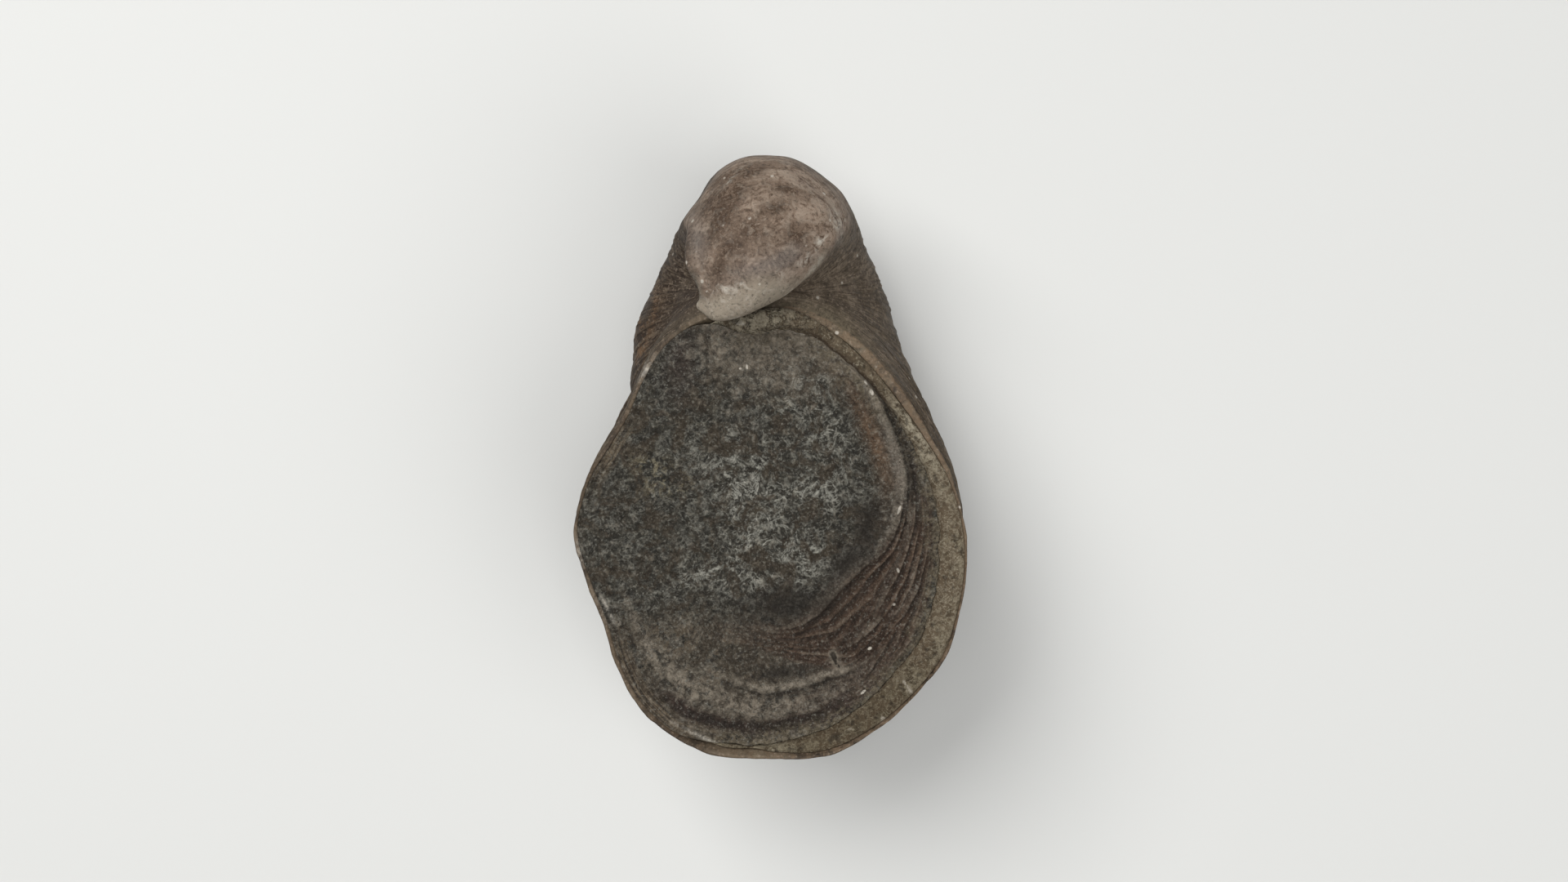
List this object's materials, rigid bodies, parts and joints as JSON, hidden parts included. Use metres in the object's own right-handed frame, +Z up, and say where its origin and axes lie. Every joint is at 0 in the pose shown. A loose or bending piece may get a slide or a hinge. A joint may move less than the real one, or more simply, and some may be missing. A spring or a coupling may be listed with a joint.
{
  "type": "fossil oyster",
  "caption": "Fossil coiled oyster with a deep hooked shell, a flat shell closing it like a lid, and hardened sandy sediment between them, lying on its worn underside.",
  "frame": {"origin": "middle of the outline seen from above, on the surface that the shell rests on", "axes": "+X to the right seen from above the lid, +Y towards the beak, +Z up out of the lid"},
  "size_m": [0.047, 0.0732, 0.0349],
  "materials": {
    "left_valve": "worn fossil shell, matt",
    "right_valve": "dark flaking fossil shell, matt",
    "sediment_fill": "hardened sandy sediment, rough"
  },
  "bodies": {
    "root": {"left_valve": "left_valve", "right_valve": "right_valve", "sediment_fill": "sediment_fill"}
  },
  "joints": []
}
